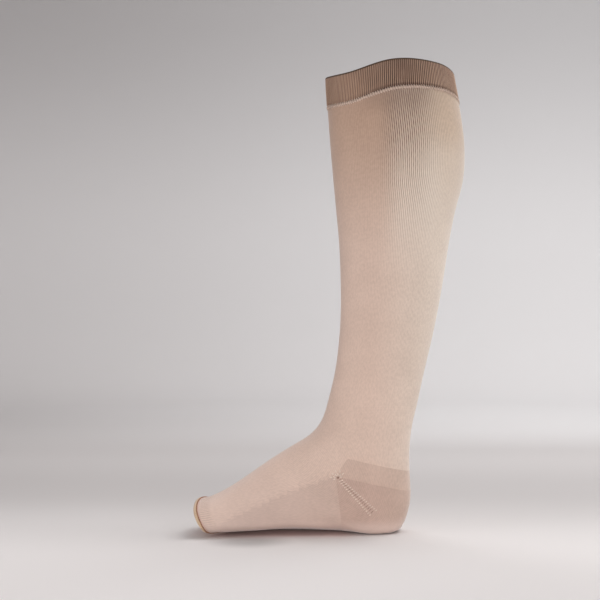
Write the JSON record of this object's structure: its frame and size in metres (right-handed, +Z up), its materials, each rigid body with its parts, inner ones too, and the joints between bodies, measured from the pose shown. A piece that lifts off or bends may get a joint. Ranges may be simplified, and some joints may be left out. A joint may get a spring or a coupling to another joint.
{
  "type": "open-toe knee-high compression stocking",
  "caption": "Open-toe, knee-high knitted compression stocking in its worn form: ribbed top band, long leg, turned heel with a splice above it, reinforced sole and rolled toe hem.",
  "frame": {"origin": "middle of the leg opening, where the top band grips the wearer's leg below the knee", "axes": "+Z up the leg and out of its opening, -X towards the toes, +Y towards the outer side of the leg; the inner side, with the arch, faces -Y"},
  "size_m": [0.2413, 0.108, 0.4184],
  "materials": {
    "band": "ribbed elastic knit, matt, taupe brown",
    "seam": "overcast seam ridge, pale beige",
    "leg": "fine elastic knit with slim lengthwise wales, beige, slight sheen",
    "splice": "close knit, beige, matt",
    "heel": "thick close knit, deeper beige, matt",
    "sole": "close knit, beige, matt",
    "hem": "narrow rolled elastic hem, tan"
  },
  "bodies": {
    "root": {"top_band": "band", "band_seam": "seam", "leg_and_instep": "leg", "heel_splice": "splice", "heel": "heel", "sole": "sole", "toe_hem": "hem"}
  },
  "joints": []
}
